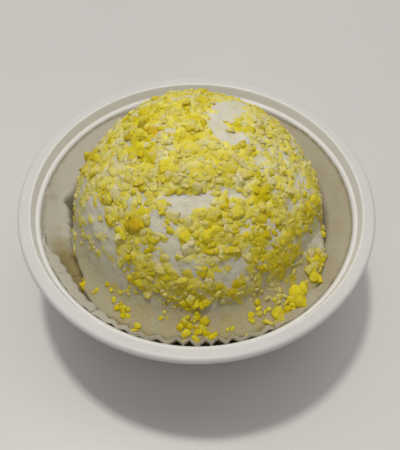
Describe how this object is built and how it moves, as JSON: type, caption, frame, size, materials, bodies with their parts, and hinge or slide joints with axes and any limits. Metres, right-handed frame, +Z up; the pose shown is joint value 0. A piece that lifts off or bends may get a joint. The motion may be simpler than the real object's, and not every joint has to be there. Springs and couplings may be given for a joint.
{
  "type": "cup of semifreddo",
  "caption": "Domed frozen cream dessert sprinkled with lemon-yellow crumbs, in a pleated paper case inside a round tapered white plastic cup with a broad flange.",
  "frame": {"origin": "centre of the cup's foot, on the surface it stands on", "axes": "+Z up along the cup's axis, -Y to the front, +X to the right as seen from the front"},
  "size_m": [0.117, 0.117, 0.077],
  "materials": {
    "cup_plastic": "satin white moulded plastic",
    "case_paper": "thin cream greaseproof paper, pleated",
    "cream": "smooth to slightly rough frozen whipped cream, soft sheen",
    "crumbs": "lemon-yellow sponge and sugar crumbs, slightly glossy"
  },
  "bodies": {
    "root": {"cup": "cup_plastic", "paper_case": "case_paper", "semifreddo": "cream"}
  },
  "joints": []
}
